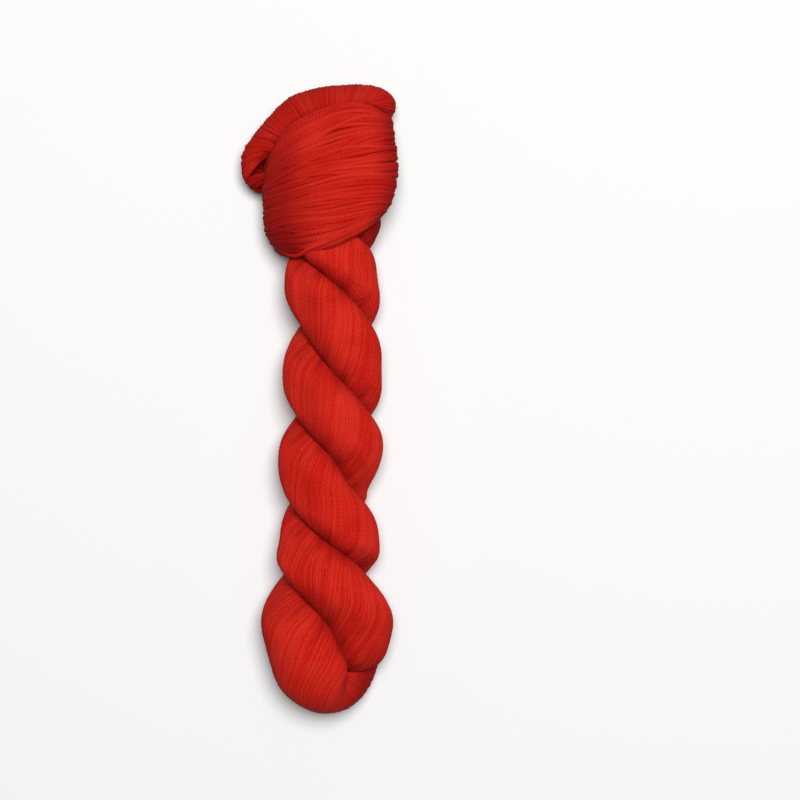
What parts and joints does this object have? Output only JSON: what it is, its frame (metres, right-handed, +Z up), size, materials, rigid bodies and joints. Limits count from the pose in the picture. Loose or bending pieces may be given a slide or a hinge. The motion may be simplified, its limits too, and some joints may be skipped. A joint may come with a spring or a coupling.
{
  "type": "hank of yarn",
  "caption": "Twisted hank of yarn lying on its side, its plies laid round each other, with a fold at the foot, a spread band and a fanned crown.",
  "frame": {"origin": "on the surface that the hank rests on, under the middle of its box", "axes": "+Z up, +Y along the hank towards its crown, +X to the right of the hank seen from above with the crown away from the viewer"},
  "size_m": [0.0747, 0.2997, 0.0419],
  "materials": {
    "yarn": "matt red plied wool yarn, dyed slightly unevenly"
  },
  "bodies": {
    "root": {"hank": "yarn"}
  },
  "joints": []
}
